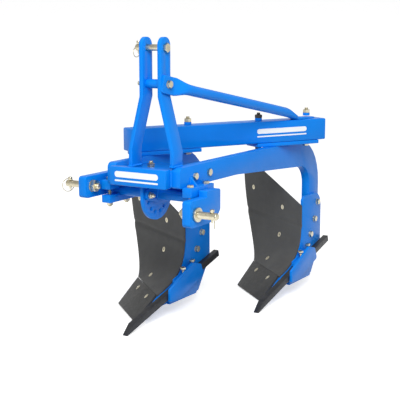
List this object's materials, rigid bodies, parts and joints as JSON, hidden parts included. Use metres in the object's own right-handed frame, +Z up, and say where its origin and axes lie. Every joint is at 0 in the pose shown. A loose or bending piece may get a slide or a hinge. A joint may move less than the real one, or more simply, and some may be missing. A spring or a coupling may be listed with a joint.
{
  "type": "mouldboard plough",
  "caption": "Mounted right-hand mouldboard plough: diagonal box beam, goose-neck legs, bar-point bodies and a three-point headstock whose cross shaft turns to set the hitch arms.",
  "frame": {"origin": "middle of the outline seen from above, on the ground the shares and bar points stand on", "axes": "travel is towards -Y, +X is the plough's own left (landside), +Z is up"},
  "size_m": [0.8492, 1.3743, 1.211],
  "materials": {
    "blue_paint": "gloss bright blue machine enamel",
    "board_steel": "dark grey satin lacquered boron steel",
    "bar_steel": "near-black satin lacquer on forged bar",
    "zinc_plate": "yellow-passivated zinc plate"
  },
  "bodies": {
    "frame": {"cross_member": "blue_paint", "front_bar_clip": "blue_paint", "front_bar_point": "bar_steel", "front_beam_pad": "blue_paint", "front_board_stay": "blue_paint", "front_frog_plate": "blue_paint", "front_landside": "blue_paint", "front_leg": "blue_paint", "front_mouldboard": "board_steel", "front_share": "board_steel", "front_share_seat": "blue_paint", "headstock_bar": "blue_paint", "left_clamp_gusset": "blue_paint", "left_clamp_lower": "blue_paint", "left_clamp_upper": "blue_paint", "left_mast_bar": "blue_paint", "main_beam": "blue_paint", "mast_spacer": "blue_paint", "rear_bar_clip": "blue_paint", "rear_bar_point": "bar_steel", "rear_beam_pad": "blue_paint", "rear_board_stay": "blue_paint", "rear_frog_plate": "blue_paint", "rear_landside": "blue_paint", "rear_leg": "blue_paint", "rear_mouldboard": "board_steel", "rear_share": "board_steel", "rear_share_seat": "blue_paint", "rear_stay": "blue_paint", "right_clamp_gusset": "blue_paint", "right_clamp_lower": "blue_paint", "right_clamp_upper": "blue_paint", "right_mast_bar": "blue_paint", "sector_plate": "blue_paint", "top_link_pin": "zinc_plate"},
    "cross_shaft": {"cross_shaft": "blue_paint", "index_lever": "blue_paint", "left_hitch_crank": "blue_paint", "left_lower_pin": "zinc_plate", "right_hitch_crank": "blue_paint", "right_lower_pin": "zinc_plate"}
  },
  "joints": [
    {"name": "cross_shaft_turn", "type": "hinge", "parent": "frame", "child": "cross_shaft", "pos_m": [0.0729, -0.5272, 0.587], "axis": [1, 0, 0], "range_deg": [0, 54]}
  ]
}
